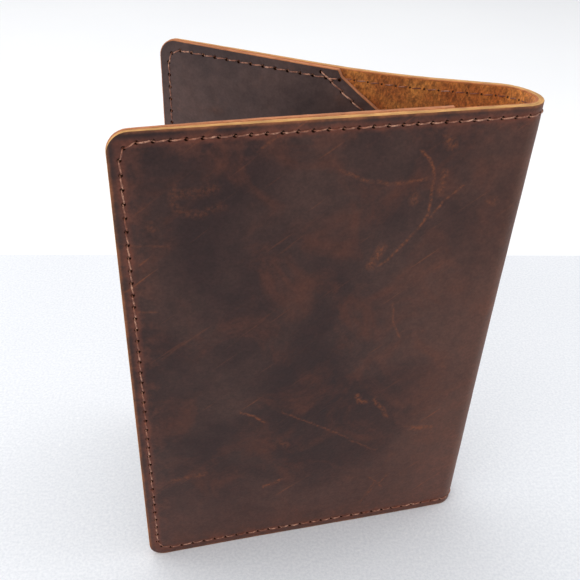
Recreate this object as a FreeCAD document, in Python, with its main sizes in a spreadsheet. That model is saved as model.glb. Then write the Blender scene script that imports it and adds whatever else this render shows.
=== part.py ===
import FreeCAD, Part
import math
import os
import Sketcher

# Passport holder: one leather folded round at the spine, a sewn pocket inside each cover, and saddle-stitched
# seams, each of two threads. It stands open on its lower edges. Millimetres, +Z up, origin under the middle of
# the bounding box. +X runs along the back cover towards the spine, +Y from the back cover to the front cover.

SIZES = [
    ("cover_height", 142.0, "height of the covers"),
    ("cover_width", 103.75, "free edge to the middle of the fold, along the leather"),
    ("shell_thickness", 2.1, "outer leather"),
    ("pocket_thickness", 1.6, "pocket leather"),
    ("corner_radius", 5.0, "free corners of the covers and pockets"),
    ("tight_radius", 5.6, "outer radius of the fold beside the back cover"),
    ("tight_turn", 100.0, "degrees turned at that radius"),
    ("loose_radius", 11.0, "outer radius of the fold beside the front cover"),
    ("loose_turn", 58.0, "degrees turned at that radius"),
    ("fold_middle", 7.15, "start of the fold to the middle of the leather"),
    ("lead_length", 12.0, "flat stretch of the front cover beside the fold"),
    ("bow_length", 32.0, "stretch of the front cover that bows outwards"),
    ("bow_turn", 12.5, "degrees that the bow turns back"),
    ("pocket_depth", 78.4, "free edge to the pocket's mouth"),
    ("mouth_top", 49.7, "top edge of the front pocket, to its diagonal"),
    ("mouth_slope", 35.7, "diagonal mouth below the horizontal, degrees"),
    ("slot_gap", 0.1, "room behind each pocket for the passport's cover, besides the mouth's thread"),
    ("seam_margin", 2.6, "cut edge to the perimeter seam"),
    ("seam_corner", 3.8, "radius of the seam at a free corner"),
    ("seam_land", 5.0, "sewn border where pocket and outer leather touch"),
    ("mouth_margin", 3.0, "pocket mouth to the row of stitches along it"),
    ("stitch_pitch", 3.5, "wanted distance between stitch holes"),
    ("hole_radius", 0.65, "stitch hole"),
    ("thread_radius", 0.2, "sewing thread"),
    ("thread_spread", 0.27, "each thread off the middle of a hole"),
    ("thread_lift", 0.05, "thread clear of the leather it lies on"),
    ("body_gap", 0.3, "gap between the leathers of two bodies"),
]

# Sizes that follow from the driving ones, as expressions of the sheet.
BEND = "((sizes.tight_radius * sizes.tight_turn + sizes.loose_radius * sizes.loose_turn) * pi / 180)"
BACK_FLAT = "(sizes.cover_width - sizes.fold_middle)"
FRONT_FLAT = f"(sizes.cover_width + sizes.fold_middle - {BEND} - sizes.lead_length - sizes.bow_length)"
BACK_FACE = "(sizes.shell_thickness + sizes.pocket_thickness)"
SLOT_FACE = "(sizes.shell_thickness + 2 * sizes.thread_radius + sizes.slot_gap)"
SEAM_START = "(sizes.seam_margin + sizes.seam_corner)"

doc = FreeCAD.newDocument("passport_holder")
sheet = doc.addObject("Spreadsheet::Sheet", "sizes")
for row, (alias, value, meaning) in enumerate(SIZES, start=1):
    sheet.set(f"A{row}", alias)
    sheet.set(f"B{row}", str(value))
    sheet.set(f"C{row}", meaning)
    sheet.setAlias(f"B{row}", alias)
doc.recompute()


def size(expression):
    """Value of an expression of the sheet, in millimetres or degrees."""
    value = sheet.evalExpression(expression)
    return float(getattr(value, "Value", value))


HEIGHT = size("sizes.cover_height")
WALL = size("sizes.shell_thickness")
MARGIN = size("sizes.seam_margin")
CORNER = size("sizes.seam_corner")
THREAD = size("sizes.thread_radius")
LIFT = size("sizes.thread_lift")

# ---------------------------------------------------------------------------------------------------------
# The path of the outer face, seen from above: stretches of (length, degrees turned), each an expression.

FOLD = [
    ("sizes.tight_radius * sizes.tight_turn * pi / 180", "sizes.tight_turn"),
    ("sizes.loose_radius * sizes.loose_turn * pi / 180", "sizes.loose_turn"),
]
BACK_PATH = [(BACK_FLAT, "0")]
FRONT_PATH = [(FRONT_FLAT, "0"), ("sizes.bow_length", "sizes.bow_turn"), ("sizes.lead_length", "0")]


def step(length, turn):
    """Placement at the end of a stretch that starts at the origin along +X."""
    angle = math.radians(turn)
    if turn == 0:
        move = FreeCAD.Vector(length, 0, 0)
    else:
        radius = length / angle
        move = FreeCAD.Vector(radius * math.sin(angle), radius * (1 - math.cos(angle)), 0)
    return FreeCAD.Placement(move, FreeCAD.Rotation(FreeCAD.Vector(0, 0, 1), turn))


def along(path, distance):
    """Placement on the path after that distance: X along the leather, Z up."""
    place = FreeCAD.Placement()
    for length, turn in path:
        length, turn = size(length), size(turn)
        if distance <= length:
            return place.multiply(step(distance, turn * distance / length))
        place = place.multiply(step(length, turn))
        distance -= length
    return place.multiply(step(distance, 0))


def backwards(path):
    return [(length, f"-({turn})") for length, turn in reversed(path)]


def clip(path, start, end):
    """The stretches of a path between two distances, again as expressions."""
    pieces = []
    before = "0"
    for length, turn in path:
        low, high = size(before), size(f"{before} + {length}")
        if high > size(start) and low < size(end):
            first = start if size(start) > low else before
            last = end if size(end) < high else f"{before} + {length}"
            share = f"(({last}) - ({first}))"
            angle = "0" if size(turn) == 0 else f"({turn}) * {share} / ({length})"
            pieces.append((share, angle))
        before = f"{before} + {length}"
    return pieces


# ---------------------------------------------------------------------------------------------------------
# Bodies made of a leather's outline seen from above, padded to its height.

def plane_of(body, role):
    return next(feature for feature in body.Origin.OriginFeatures if feature.Role == role)


def add_sketch(body, name, role):
    sketch = body.newObject("Sketcher::SketchObject", name)
    sketch.AttachmentSupport = (plane_of(body, role), "")
    sketch.MapMode = "FlatFace"
    return sketch


def bind(sketch, constraint, name, expression):
    """Add a dimension with the value of the expression, and tie it to the sheet."""
    value = size(expression)
    if constraint[0] == "Angle":
        value = math.radians(value)
    index = sketch.addConstraint(Sketcher.Constraint(*constraint, value))
    sketch.renameConstraint(index, name)
    sketch.setExpression(f"Constraints.{name}", expression)


def draw_chain(sketch, path, inner, offset):
    """Lines and arcs of a path moved sideways by the offset towards its inner side (+1 left, -1 right)."""
    place = FreeCAD.Placement()
    geometry = []
    for length, turn in path:
        length, turn = size(length), size(turn)
        stations = [place.multiply(step(length * share, turn * share)) for share in (0, 0.5, 1)]
        side = FreeCAD.Vector(0, inner * offset, 0)
        points = [station.multVec(side) for station in stations]
        if turn == 0:
            curve = Part.LineSegment(points[0], points[2])
        else:
            curve = Part.Arc(*points)
        geometry.append(sketch.addGeometry(curve, False))
        place = stations[2]
    return geometry


def chain_end(path, index, last):
    """Which end of a drawn stretch comes last along the path: a right-hand arc is stored the other way round."""
    right_hand = size(path[index][1]) < 0
    return 2 if last != right_hand else 1


def band_sketch(body, path, inner, near, far):
    """Closed outline between two offsets of a path, fully constrained."""
    sketch = add_sketch(body, f"{body.Name}_outline", "XY_Plane")
    chains = [draw_chain(sketch, path, inner, size(offset)) for offset in (near, far)]
    count = len(path)
    for chain in chains:
        for index in range(count - 1):
            sketch.addConstraint(Sketcher.Constraint(
                "Tangent", chain[index], chain_end(path, index, True),
                chain[index + 1], chain_end(path, index + 1, False)))
    caps = []
    for index, last in ((0, False), (count - 1, True)):
        end = chain_end(path, index, last)
        ends = [sketch.getPoint(chain[index], end) for chain in chains]
        cap = sketch.addGeometry(Part.LineSegment(*ends), False)
        for chain, cap_end in zip(chains, (1, 2)):
            sketch.addConstraint(Sketcher.Constraint("Coincident", chain[index], end, cap, cap_end))
        caps.append(cap)
    first = chains[0][0]
    start = chain_end(path, 0, False)
    sketch.addConstraint(Sketcher.Constraint("Vertical", caps[0]))
    bind(sketch, ("Distance", caps[0]), "wall", f"({far}) - ({near})")
    if size(near) == 0:
        sketch.addConstraint(Sketcher.Constraint("Coincident", first, start, -1, 1))
    else:
        sketch.addConstraint(Sketcher.Constraint("PointOnObject", first, start, -2))
        bind(sketch, ("Distance", -1, 1, first, start), "offset", near)
    for chain in chains:
        sketch.addConstraint(Sketcher.Constraint("Perpendicular", caps[0], chain[0]))
    for index, (length, turn) in enumerate(path):
        if size(turn) == 0:
            bind(sketch, ("Distance", chains[0][index]), f"length_{index}", length)
        else:
            sign = inner * math.copysign(1, size(turn))
            radius = f"abs(({length}) / ({turn}) * 180 / pi) - ({sign} * ({near}))"
            bind(sketch, ("Radius", chains[0][index]), f"radius_{index}", radius)
            bind(sketch, ("Angle", chains[0][index]), f"turn_{index}", f"abs({turn})")
            sketch.addConstraint(Sketcher.Constraint(
                "Coincident", chains[0][index], 3, chains[1][index], 3))
    for index in range(1, count):
        if size(path[index][1]) == 0:
            sketch.addConstraint(Sketcher.Constraint("Parallel", chains[0][index], chains[1][index]))
    if size(path[-1][1]) == 0:
        sketch.addConstraint(Sketcher.Constraint("Perpendicular", caps[1], chains[0][-1]))
    else:
        sketch.addConstraint(Sketcher.Constraint("PointOnObject", chains[0][-1], 3, caps[1]))
    return sketch


def band(name, path, inner, near, far, height, place):
    """Body of a leather that follows the path between two offsets from the outer face."""
    body = doc.addObject("PartDesign::Body", name)
    sketch = band_sketch(body, path, inner, near, far)
    pad = body.newObject("PartDesign::Pad", f"{name}_pad")
    pad.Profile = sketch
    pad.setExpression("Length", height)
    body.Placement = place
    doc.recompute()
    return body


def round_free_corners(body):
    """Round the two corners at the free edge, where the path starts."""
    pad = body.Tip
    corners = []
    for index, edge in enumerate(pad.Shape.Edges, start=1):
        box = edge.BoundBox
        if box.XMax < 0.01 and box.ZLength < 0.01:
            corners.append(f"Edge{index}")
    fillet = body.newObject("PartDesign::Fillet", f"{body.Name}_corners")
    fillet.Base = (pad, corners)
    fillet.setExpression("Radius", "sizes.corner_radius")
    doc.recompute()


def cut(label, base, tool):
    """Sub-part with the tool's shape cut out of it."""
    part = doc.addObject("Part::Cut", label)
    part.Base = base
    part.Tool = tool
    part.Label = label
    doc.recompute()
    return part


def solid_feature(name, shape):
    feature = doc.addObject("Part::Feature", name)
    feature.Shape = shape
    feature.Label = name
    return feature


# ---------------------------------------------------------------------------------------------------------
# The perimeter seam. Its holes are evenly spaced along the whole leather, and each body ends midway between
# two of them. A hole is (distance from the free edge along the leather, height).

RUN = 2 * size(f"sizes.cover_width - {SEAM_START}")
TOP_PITCH = RUN / round(RUN / size("sizes.stitch_pitch"))
SIDE_RUN = HEIGHT - 2 * (MARGIN + CORNER)
SIDE_PITCH = SIDE_RUN / round(SIDE_RUN / size("sizes.stitch_pitch"))
SEAM_FIRST = MARGIN + CORNER


def holes_before(flat):
    """Number of top holes on a cover whose fold starts at that distance from its free edge."""
    return math.floor((flat - SEAM_FIRST) / TOP_PITCH - 0.5) + 1


BACK_HOLES = holes_before(size(BACK_FLAT))
FRONT_HOLES = holes_before(size(f"{FRONT_FLAT} + sizes.bow_length + sizes.lead_length"))
FOLD_HOLES = round(RUN / TOP_PITCH) + 1 - BACK_HOLES - FRONT_HOLES


def cover_end(holes):
    """Where a cover's leather ends: half a stitch past its last hole, less half the gap to the next body."""
    pitch = f"(2 * (sizes.cover_width - {SEAM_START}) / {round(RUN / TOP_PITCH)})"
    return f"({SEAM_START} + {holes - 0.5} * {pitch} - sizes.body_gap / 2)"


BACK_END = cover_end(BACK_HOLES)
FRONT_END = cover_end(FRONT_HOLES)
FOLD_START = f"({BACK_END} + sizes.body_gap)"
WHOLE_PATH = BACK_PATH + FOLD + backwards(FRONT_PATH)
FOLD_END = f"(2 * sizes.cover_width - {FRONT_END} - sizes.body_gap)"


class Cover:
    """Where a distance from the free edge lies, and which side is inside."""

    def __init__(self, name, path, inner, place, pocket_holds):
        self.name = name
        self.path = path
        self.inner = inner
        self.place = place
        self.pocket_holds = pocket_holds

    def point(self, distance, height, depth):
        """Point at a depth from the outer face, positive towards the inside."""
        frame = self.place.multiply(along(self.path, distance))
        return frame.multVec(FreeCAD.Vector(0, self.inner * depth, height))

    def depth(self, distance, height):
        """Thickness of leather that a perimeter stitch goes through."""
        return size(BACK_FACE) if self.pocket_holds(distance, height) else WALL


def mouth_height(distance):
    """Height of the front pocket's diagonal mouth."""
    return HEIGHT - (distance - size("sizes.mouth_top")) * math.tan(math.radians(size("sizes.mouth_slope")))


def in_back_pocket(distance, height):
    return distance < size("sizes.pocket_depth")


def in_front_pocket(distance, height):
    return in_back_pocket(distance, height) and height < mouth_height(distance)


free_frame = along(WHOLE_PATH, 2 * size("sizes.cover_width"))
turn_round = FreeCAD.Placement(FreeCAD.Vector(), FreeCAD.Rotation(FreeCAD.Vector(0, 0, 1), 180))
BACK = Cover("back", BACK_PATH, 1, FreeCAD.Placement(), in_back_pocket)
FRONT = Cover("front", FRONT_PATH, -1, free_frame.multiply(turn_round), in_front_pocket)
SPINE = Cover("spine", WHOLE_PATH, 1, FreeCAD.Placement(), lambda distance, height: False)


def seam_holes(count):
    """Holes round a cover, from the spine along the top, down the free edge and back along the bottom."""
    top = [SEAM_FIRST + index * TOP_PITCH for index in reversed(range(count))]
    side = [SEAM_FIRST + index * SIDE_PITCH for index in range(round(SIDE_RUN / SIDE_PITCH) + 1)]
    corner = MARGIN + CORNER * (1 - math.cos(math.radians(45)))
    holes = [(distance, HEIGHT - MARGIN) for distance in top]
    holes.append((corner, HEIGHT - corner))
    holes += [(MARGIN, height) for height in reversed(side)]
    holes.append((corner, corner))
    holes += [(distance, MARGIN) for distance in reversed(top)]
    return holes


def fold_holes(height):
    first = SEAM_FIRST + BACK_HOLES * TOP_PITCH
    return [(first + index * TOP_PITCH, height) for index in range(FOLD_HOLES)]


def mouth_row(diagonal):
    """Evenly spaced holes along a pocket's mouth, between the sewn borders."""
    distance = size("sizes.pocket_depth - sizes.mouth_margin")
    low = size("sizes.seam_land + sizes.hole_radius + sizes.thread_radius + sizes.thread_lift")
    corners = [(distance, HEIGHT - low), (distance, low)]
    if diagonal:
        slope = math.radians(size("sizes.mouth_slope"))
        start = size("sizes.mouth_top") - size("sizes.mouth_margin") / math.sin(slope)
        bend = HEIGHT - (distance - start) * math.tan(slope)
        corners = [(start + low / math.tan(slope), HEIGHT - low), (distance, bend), (distance, low)]
    row = []
    for (x0, z0), (x1, z1) in zip(corners, corners[1:]):
        run = math.hypot(x1 - x0, z1 - z0)
        count = round(run / size("sizes.stitch_pitch"))
        row += [(x0 + (x1 - x0) * i / count, z0 + (z1 - z0) * i / count) for i in range(count)]
    return row + [corners[-1]]


def hole_cylinders(cover, holes):
    """Awl holes through everything, square to the leather."""
    reach = 2 * size(BACK_FACE)
    cylinders = []
    for distance, height in holes:
        start = cover.point(distance, height, -WALL / 2)
        end = cover.point(distance, height, reach)
        cylinders.append(Part.makeCylinder(size("sizes.hole_radius"), reach + WALL / 2, start, end - start))
    return cylinders


# ---------------------------------------------------------------------------------------------------------
# Saddle-stitch threads. The two threads of a seam take turns on the outside and the inside, and pass each
# other side by side in every hole, which makes all stitches on one face slant the same way.

STRAIGHT = 3.0

def sideways(holes, index):
    """Unit direction across the seam at a hole, in the leather's plane."""
    before = holes[max(index - 1, 0)]
    after = holes[min(index + 1, len(holes) - 1)]
    run = math.hypot(after[0] - before[0], after[1] - before[1])
    return -(after[1] - before[1]) / run, (after[0] - before[0]) / run


def thread_points(cover, holes, odd, tails, faces, bends):
    """Corners of one thread's path. Tails are where it is cut off before the first and after the last hole."""
    spread = size("sizes.thread_spread")
    outer, inner = faces
    stops = [tails[0]] + holes + [tails[1]]
    points = []
    for index in range(len(stops) - 1):
        ends = (index, index + 1)
        outside = (index + odd) % 2 == 0
        slant = -cover.inner if outside else cover.inner
        if outside:
            depth = outer - THREAD - LIFT
        else:
            depth = max(inner(*stops[end]) for end in ends) + THREAD + LIFT
        shifted = []
        for end, sign in zip(ends, (slant, -slant)):
            across = sideways(stops, end)
            share = 0 if end in (0, len(stops) - 1) else sign * spread
            shifted.append([stops[end][axis] + share * across[axis] for axis in (0, 1)])
        for piece in range(bends + 1):
            share = piece / bends
            spot = [shifted[0][axis] * (1 - share) + shifted[1][axis] * share for axis in (0, 1)]
            points.append(cover.point(*spot, depth))
    return points


def thread_solid(points):
    """Round thread through the points, leaving out those where it hardly turns."""
    corners = points[:1]
    for point, following in zip(points[1:], points[2:]):
        if math.degrees((point - corners[-1]).getAngle(following - point)) > STRAIGHT:
            corners.append(point)
    corners.append(points[-1])
    wire = Part.makePolygon(corners)
    ring = Part.makeCircle(THREAD, corners[0], corners[1] - corners[0])
    return wire.makePipeShell([Part.Wire(ring)], True, False, 1)


def seam_threads(cover, runs, label, faces, bends=1):
    """Both threads of a seam, each a sub-part with one solid for each run."""
    for odd, letter in enumerate("ab"):
        solids = []
        for holes, tails in runs:
            solids.append(thread_solid(thread_points(cover, holes, odd, tails, faces, bends)))
        shape = solids[0] if len(solids) == 1 else Part.makeCompound(solids)
        SUB_PARTS.append(solid_feature(f"{label}_thread_{letter}", shape))


# ---------------------------------------------------------------------------------------------------------
# The sub-parts.

SUB_PARTS = []


def make_cover(cover, holes, leather_end, diagonal):
    """Outer leather, pocket and threads of one cover."""
    name = cover.name
    perimeter = seam_holes(holes)
    row = mouth_row(diagonal)
    end = size(leather_end)
    seam_tool = solid_feature(f"{name}_seam_holes", Part.makeCompound(hole_cylinders(cover, perimeter)))

    blank = band(f"{name}_blank", clip(cover.path, "0", leather_end), cover.inner,
                 "0", "sizes.shell_thickness", "sizes.cover_height", cover.place)
    round_free_corners(blank)
    SUB_PARTS.append(cut(f"{name}_leather", blank, seam_tool))

    panel = band(f"{name}_panel", clip(cover.path, "0", "sizes.pocket_depth"), cover.inner,
                 "sizes.shell_thickness", BACK_FACE, "sizes.cover_height", cover.place)
    round_free_corners(panel)
    slot = band(f"{name}_slot", clip(cover.path, "sizes.seam_land", "sizes.pocket_depth + sizes.seam_land"),
                cover.inner, "sizes.shell_thickness", SLOT_FACE,
                "sizes.cover_height - 2 * sizes.seam_land", slot_place(cover))
    tools = [slot.Shape, *hole_cylinders(cover, [hole for hole in perimeter if cover.pocket_holds(*hole)])]
    tools += hole_cylinders(cover, row)
    if diagonal:
        tools.append(diagonal_tool(cover))
    pocket_tool = solid_feature(f"{name}_pocket_cuts", Part.makeCompound(tools))
    SUB_PARTS.append(cut(f"{name}_pocket", panel, pocket_tool))

    tails = ((end, HEIGHT - MARGIN), (end, MARGIN))
    seam_threads(cover, [(perimeter, tails)], f"{name}_seam", (0, cover.depth))
    seam_threads(cover, [(row[1:-1], (row[0], row[-1]))], f"{name}_mouth",
                 (size(SLOT_FACE), lambda distance, height: size(BACK_FACE)))


def slot_place(cover):
    land = size("sizes.seam_land")
    return cover.place.multiply(FreeCAD.Placement(FreeCAD.Vector(land, 0, land), FreeCAD.Rotation()))


def diagonal_tool(cover):
    """Prism above the diagonal mouth, deep enough for the bow on either side."""
    top = size("sizes.mouth_top")
    far = size("sizes.pocket_depth") + WALL
    corners = [(top, HEIGHT), (far, mouth_height(far)), (far, HEIGHT + WALL), (top, HEIGHT + WALL)]
    reach = size("sizes.bow_length")
    outline = [cover.place.multVec(FreeCAD.Vector(x, -reach, z)) for x, z in corners]
    across = cover.place.Rotation.multVec(FreeCAD.Vector(0, 2 * reach, 0))
    return Part.Face(Part.makePolygon(outline + outline[:1])).extrude(across)


make_cover(BACK, BACK_HOLES, BACK_END, False)
make_cover(FRONT, FRONT_HOLES, FRONT_END, True)

spine_blank = band("spine_blank", clip(WHOLE_PATH, FOLD_START, FOLD_END), 1,
                   "0", "sizes.shell_thickness", "sizes.cover_height", along(WHOLE_PATH, size(FOLD_START)))
spine_rows = [fold_holes(height) for height in (HEIGHT - MARGIN, MARGIN)]
spine_tool = solid_feature("spine_holes", Part.makeCompound(
    [cylinder for row in spine_rows for cylinder in hole_cylinders(SPINE, row)]))
SUB_PARTS.append(cut("spine_leather", spine_blank, spine_tool))
spine_runs = []
for row in spine_rows:
    height = row[0][1]
    spine_runs.append((row, ((size(FOLD_START), height), (size(FOLD_END), height))))
seam_threads(SPINE, spine_runs, "spine_seam", (0, SPINE.depth), 4)
doc.recompute()

# The origin goes under the middle of the bounding box.
whole = Part.makeCompound([part.Shape for part in SUB_PARTS]).optimalBoundingBox(False, False)
shift = FreeCAD.Vector(-whole.Center.x, -whole.Center.y, -whole.ZMin)
for part in SUB_PARTS:
    part.Placement = FreeCAD.Placement(shift, FreeCAD.Rotation()).multiply(part.Placement)

for item in doc.Objects:
    if "Invalid" in item.State or "Error" in item.State:
        raise RuntimeError(f"{item.Name} did not recompute: {item.State}")
for part in SUB_PARTS:
    if part.Shape.isNull() or not part.Shape.isValid():
        raise RuntimeError(f"{part.Label} has no valid shape")

os.makedirs("parts", exist_ok=True)
for part in SUB_PARTS:
    part.Shape.exportStep(f"parts/{part.Label}.step")
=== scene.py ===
import math
import bmesh
import bpy
import numpy as np
from mathutils import Matrix, Vector, noise
from mathutils.geometry import delaunay_2d_cdt


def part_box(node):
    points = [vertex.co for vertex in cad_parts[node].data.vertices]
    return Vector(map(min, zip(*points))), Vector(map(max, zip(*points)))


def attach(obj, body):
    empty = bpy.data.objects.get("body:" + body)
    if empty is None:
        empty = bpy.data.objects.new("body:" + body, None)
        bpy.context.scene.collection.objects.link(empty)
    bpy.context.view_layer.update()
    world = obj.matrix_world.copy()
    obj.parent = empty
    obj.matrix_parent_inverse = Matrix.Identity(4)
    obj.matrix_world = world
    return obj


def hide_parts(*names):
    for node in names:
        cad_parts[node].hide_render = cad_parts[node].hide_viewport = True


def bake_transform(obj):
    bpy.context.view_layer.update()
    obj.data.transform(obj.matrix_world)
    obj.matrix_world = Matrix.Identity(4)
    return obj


# Passport holder: one waxed leather folded round at the spine, a pocket sewn inside each cover, and seams
# saddle-stitched with two threads. Every leather is laid out flat, in millimetres, as (along, height, depth):
# along the leather from the back cover's free edge to the front cover's, up from the standing edge, and in
# from the outer face. It is then folded along the path of the outer face, into the CAD model's frame.

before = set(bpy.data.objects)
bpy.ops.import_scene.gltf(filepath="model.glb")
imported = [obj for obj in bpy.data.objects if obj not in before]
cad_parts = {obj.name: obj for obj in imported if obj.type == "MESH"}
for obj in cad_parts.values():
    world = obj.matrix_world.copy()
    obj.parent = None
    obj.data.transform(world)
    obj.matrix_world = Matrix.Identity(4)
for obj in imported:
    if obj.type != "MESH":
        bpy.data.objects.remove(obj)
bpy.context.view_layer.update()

MM = 0.001
LEATHER_LOW, LEATHER_HIGH = (np.array(corner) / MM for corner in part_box("back_leather"))
POCKET_LOW, POCKET_HIGH = (np.array(corner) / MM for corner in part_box("back_pocket"))
ORIGIN = LEATHER_LOW
HEIGHT = LEATHER_HIGH[2] - LEATHER_LOW[2]
SHELL = LEATHER_HIGH[1] - LEATHER_LOW[1]
POCKET = POCKET_HIGH[1] - LEATHER_HIGH[1]
POCKET_DEPTH = POCKET_HIGH[0] - POCKET_LOW[0]

COVER_WIDTH = 103.75
FOLD_MIDDLE = 7.15
TIGHT_RADIUS, TIGHT_TURN = 5.6, 100.0
LOOSE_RADIUS, LOOSE_TURN = 11.0, 58.0
LEAD_LENGTH = 12.0
BOW_LENGTH, BOW_TURN = 32.0, -12.5
CORNER_RADIUS = 5.0
MOUTH_TOP = 49.7
MOUTH_SLOPE = math.radians(35.7)
TAB_TOP, TAB_FOOT = 51.2, 52.2
SEAM_MARGIN = 2.6
SEAM_CORNER = 3.8
MOUTH_MARGIN = 2.8
MOUTH_ROW_END = 5.9
MOUTH_ROW_TOP = 1.35
STITCH_PITCH = 3.5
HOLE_RADIUS = 0.52
THREAD_RADIUS = 0.21
THREAD_SPREAD = 0.2

# ---------------------------------------------------------------------------------------------------------
# The fold: the path of the outer face seen from above, as stretches of (length, degrees turned).

TIGHT_LENGTH = TIGHT_RADIUS * math.radians(TIGHT_TURN)
LOOSE_LENGTH = LOOSE_RADIUS * math.radians(LOOSE_TURN)
FOLD_START = COVER_WIDTH - FOLD_MIDDLE
FOLD_END = FOLD_START + TIGHT_LENGTH + LOOSE_LENGTH
WHOLE = 2 * COVER_WIDTH
STRETCHES = [
    (FOLD_START, 0), (TIGHT_LENGTH, TIGHT_TURN), (LOOSE_LENGTH, LOOSE_TURN), (LEAD_LENGTH, 0),
    (BOW_LENGTH, BOW_TURN), (WHOLE - FOLD_END - LEAD_LENGTH - BOW_LENGTH, 0),
]
PATH_STEP = 0.01
PATH_SPARE = 2.0


def folded_path():
    """Stations along the leather, with the heading and the place of the outer face at each."""
    stations = np.arange(-PATH_SPARE, WHOLE + PATH_SPARE, PATH_STEP)
    ends = np.cumsum([0] + [length for length, _ in STRETCHES])
    turns = np.cumsum([0] + [turn for _, turn in STRETCHES])
    headings = np.radians(np.interp(stations, ends, turns))
    middle = (headings[1:] + headings[:-1]) / 2
    xs = np.concatenate([[0], np.cumsum(np.cos(middle))]) * PATH_STEP - PATH_SPARE
    ys = np.concatenate([[0], np.cumsum(np.sin(middle))]) * PATH_STEP
    return stations, headings, xs, ys


STATIONS, HEADINGS, PATH_X, PATH_Y = folded_path()
WARP = 0.22
EDGE_THICKNESS = 0.46
SPINE_THICKNESS = 0.97
SKIVED = 35.0


def place(spots):
    """Rows of (along, height, depth) in millimetres, folded into the row frame in metres.

    The leather is pared thinner towards the free edges.
    """
    along, height, depth = np.asarray(spots, float).reshape(-1, 3).T
    heading = np.interp(along, STATIONS, HEADINGS)
    wave = WARP * np.sin(along * 0.05 + 0.6) * np.sin(height * 0.042 + 0.5 + along * 0.01)
    free = np.clip(np.minimum(along, WHOLE - along), 0, None)
    thinning = SPINE_THICKNESS - (SPINE_THICKNESS - EDGE_THICKNESS) * np.exp(-free / SKIVED)
    inward = depth * thinning + wave
    x = np.interp(along, STATIONS, PATH_X) - inward * np.sin(heading)
    y = np.interp(along, STATIONS, PATH_Y) + inward * np.cos(heading)
    return (np.stack([x, y, height], axis=1) + ORIGIN) * MM


def smooth(value):
    value = np.clip(value, 0, 1)
    return value * value * (3 - 2 * value)


# ---------------------------------------------------------------------------------------------------------
# The perimeter seam. The two halves of the outer leather meet on the spine, midway between two holes.

SEAM_FIRST = SEAM_MARGIN + SEAM_CORNER
TOP_RUN = WHOLE - 2 * SEAM_FIRST
TOP_PITCH = TOP_RUN / round(TOP_RUN / STITCH_PITCH)
SIDE_RUN = HEIGHT - 2 * SEAM_FIRST
SIDE_PITCH = SIDE_RUN / round(SIDE_RUN / STITCH_PITCH)
SPLIT = SEAM_FIRST + (round((COVER_WIDTH - SEAM_FIRST) / TOP_PITCH - 0.5) + 0.5) * TOP_PITCH


class Cover:
    """One half of the holder, laid out by the distance from its free edge."""

    def __init__(self, name, body, flip, width, lead, blend):
        self.name = name
        self.body = body
        self.flip = flip
        self.width = width
        self.lead = lead
        self.blend = blend

    def spots(self, rows):
        """Rows of (distance, height, depth) as (along, height, depth)."""
        rows = np.array(rows, float).reshape(-1, 3)
        if self.flip:
            rows[:, 0] = WHOLE - rows[:, 0]
        return rows

    def ride(self, piece, crosses_fold):
        """Let a piece move with the cover alone; a piece that crosses the fold only has its transform baked
        in place.
        """
        if not crosses_fold:
            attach(piece, self.body)
            return
        if self.flip:
            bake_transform(piece)
        else:
            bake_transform(piece)


BACK = Cover("back", "back_cover", False, SPLIT, FOLD_START, 7.0)
FRONT = Cover("front", "front_cover", True, WHOLE - SPLIT, FOLD_END, 10.0)


def mouth_height(distance):
    """Height of the front pocket's diagonal mouth."""
    return HEIGHT - (distance - MOUTH_TOP) * math.tan(MOUTH_SLOPE)


def pocket_holds(cover, distance, height):
    return distance < POCKET_DEPTH and (not cover.flip or height < mouth_height(distance))


def seam_holes(cover):
    """Holes round a cover, from the spine along the top, down the free edge and back along the bottom."""
    count = math.floor((cover.width - SEAM_FIRST) / TOP_PITCH) + 1
    top = [SEAM_FIRST + index * TOP_PITCH for index in reversed(range(count))]
    side = [SEAM_FIRST + index * SIDE_PITCH for index in range(round(SIDE_RUN / SIDE_PITCH) + 1)]
    corner = SEAM_MARGIN + SEAM_CORNER * (1 - math.cos(math.radians(45)))
    holes = [(distance, HEIGHT - SEAM_MARGIN) for distance in top]
    holes.append((corner, HEIGHT - corner))
    holes += [(SEAM_MARGIN, height) for height in reversed(side)]
    holes.append((corner, corner))
    holes += [(distance, SEAM_MARGIN) for distance in reversed(top)]
    return holes


def mouth_holes(cover):
    """Evenly spaced holes along a pocket's mouth, between the sewn borders."""
    distance = POCKET_DEPTH - MOUTH_MARGIN
    corners = [(distance, HEIGHT - MOUTH_ROW_END), (distance, MOUTH_ROW_END)]
    if cover.flip:
        start = MOUTH_TOP - MOUTH_MARGIN / math.sin(MOUTH_SLOPE)
        bend = HEIGHT - (distance - start) * math.tan(MOUTH_SLOPE)
        first = start + MOUTH_ROW_TOP / math.tan(MOUTH_SLOPE)
        corners = [(first, HEIGHT - MOUTH_ROW_TOP), (distance, bend), (distance, MOUTH_ROW_END)]
    row = []
    for (x0, z0), (x1, z1) in zip(corners, corners[1:]):
        count = round(math.hypot(x1 - x0, z1 - z0) / STITCH_PITCH)
        row += [(x0 + (x1 - x0) * i / count, z0 + (z1 - z0) * i / count) for i in range(count)]
    return row + [corners[-1]]


def pocket_lift(distance, height):
    """How far a pocket stands off the outer leather: nothing at its sewn borders, most at its mouth."""
    border = np.minimum(np.minimum(height, HEIGHT - height), distance)
    open_side = smooth((distance - 25) / (POCKET_DEPTH - 25))
    bulge = smooth((border - 3.0) / 30.0)
    return 0.45 * smooth((border - 3.0) / 3.6) + 0.75 * open_side * bulge


def ragged(x, y, seed):
    """Smooth unevenness between -1 and 1."""
    return noise.noise(Vector((x, y, seed)))


# ---------------------------------------------------------------------------------------------------------
# Wear on the back cover's outer face: strokes of (strength, half width, points as (along, height)).

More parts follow.
